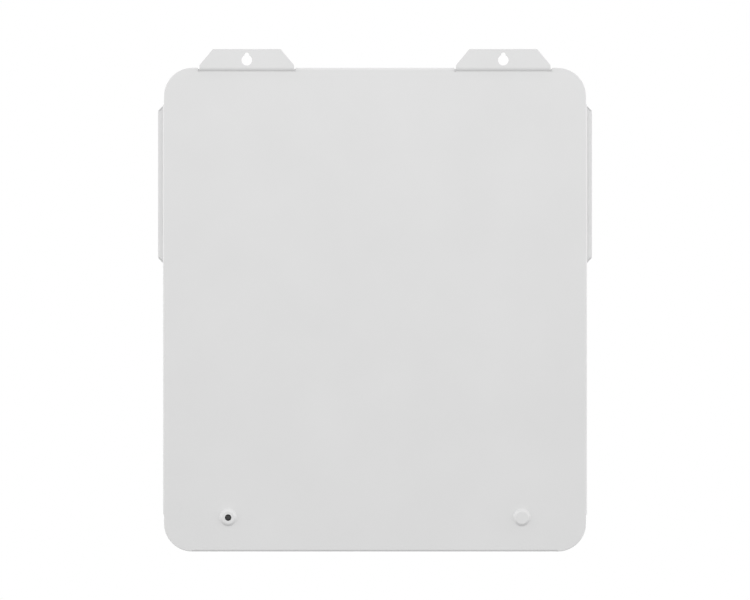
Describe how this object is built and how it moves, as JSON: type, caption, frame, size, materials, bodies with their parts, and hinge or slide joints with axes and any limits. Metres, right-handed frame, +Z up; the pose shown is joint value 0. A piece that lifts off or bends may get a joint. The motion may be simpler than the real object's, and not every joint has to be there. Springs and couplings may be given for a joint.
{
  "type": "wall battery unit",
  "caption": "Wall-hung battery cabinet of folded sheet metal with keyhole tabs, side grips, a breaker behind a hinged door, a push button and an open cable bay.",
  "frame": {"origin": "on the wall plane, half way between the centres of the two keyholes' entry holes", "axes": "+Z up the wall, +Y into the wall, +X to the viewer's right when the front cover is faced"},
  "size_m": [0.509, 0.1615, 0.5878],
  "materials": {
    "case_paint": "satin powder coat, fine orange peel",
    "cup_plastic": "moulded, fine texture",
    "fascia_plastic": "moulded, fine texture",
    "smoked_lens": "smoked, polished",
    "clear_door": "clear polycarbonate",
    "breaker_plastic": "moulded",
    "lever_plastic": "moulded",
    "black_plastic": "moulded",
    "orange_plastic": "moulded",
    "gasket_foam": "closed-cell foam",
    "plated_steel": "zinc plated",
    "button_steel": "brushed stainless",
    "copper": "tinned copper",
    "earth_brass": "bright",
    "cell_can": "aluminium can in blue film",
    "end_plate_aluminium": "anodised",
    "circuit_board": "solder mask",
    "fuse_ceramic": "glazed",
    "insulation": "sheet"
  },
  "bodies": {
    "case": {"bay_roof": "case_paint", "bms_board": "circuit_board", "bms_connectors": "black_plastic", "bms_heatsink": "end_plate_aluminium", "bms_mosfets": "black_plastic", "board_cable": "black_plastic", "board_standoffs": "plated_steel", "breaker_body": "breaker_plastic", "breaker_to_socket_bar": "copper", "busbar_links": "copper", "button_dome": "plated_steel", "button_housing": "button_steel", "cable_cover": "case_paint", "cable_cover_screws": "plated_steel", "cable_tie_bar": "plated_steel", "case_shell": "case_paint", "cell_shelf": "plated_steel", "cells_left": "cell_can", "cells_right": "cell_can", "comm_ports": "black_plastic", "compression_straps": "plated_steel", "cover_gasket": "gasket_foam", "cover_screws": "plated_steel", "din_rail": "plated_steel", "door_hinge_pin": "plated_steel", "earth_stud": "earth_brass", "electronics_tray": "plated_steel", "end_plates": "end_plate_aluminium", "fascia": "fascia_plastic", "front_cover": "case_paint", "fuse_bolts": "plated_steel", "fuse_holder": "black_plastic", "fuse_to_breaker_bar": "copper", "grip_cup_left": "cup_plastic", "grip_cup_right": "cup_plastic", "handle_hood_left": "case_paint", "handle_hood_right": "case_paint", "lever_pivot_pin": "plated_steel", "main_fuse": "fuse_ceramic", "minus_bar": "copper", "outlet_cable": "black_plastic", "panel_loom": "black_plastic", "plus_bar": "copper", "power_socket_minus": "black_plastic", "power_socket_plus": "orange_plastic", "pressure_vent": "black_plastic", "rail_pillars": "plated_steel", "rear_insulation": "insulation", "rear_panel": "case_paint", "return_cable": "black_plastic", "rivet_nuts": "plated_steel", "sense_board": "circuit_board", "sense_loom": "black_plastic", "socket_screws": "plated_steel", "status_board": "circuit_board", "status_window": "smoked_lens"},
    "button": {"power_button": "button_steel"},
    "lever": {"breaker_lever": "lever_plastic"},
    "door": {"breaker_door": "clear_door"}
  },
  "joints": [
    {"name": "button_press", "type": "slide", "parent": "case", "child": "button", "axis": [0, 1, 0], "range_m": [0, 0.0015], "stiffness_N_per_m": 2000},
    {"name": "lever_throw", "type": "hinge", "parent": "case", "child": "lever", "pos_m": [0.13, -0.14, -0.42975], "axis": [-1, 0, 0], "range_deg": [0, 50]},
    {"name": "door_swing", "type": "hinge", "parent": "case", "child": "door", "pos_m": [0.13, -0.1551, -0.39075], "axis": [-1, 0, 0], "range_deg": [0, 110]}
  ]
}
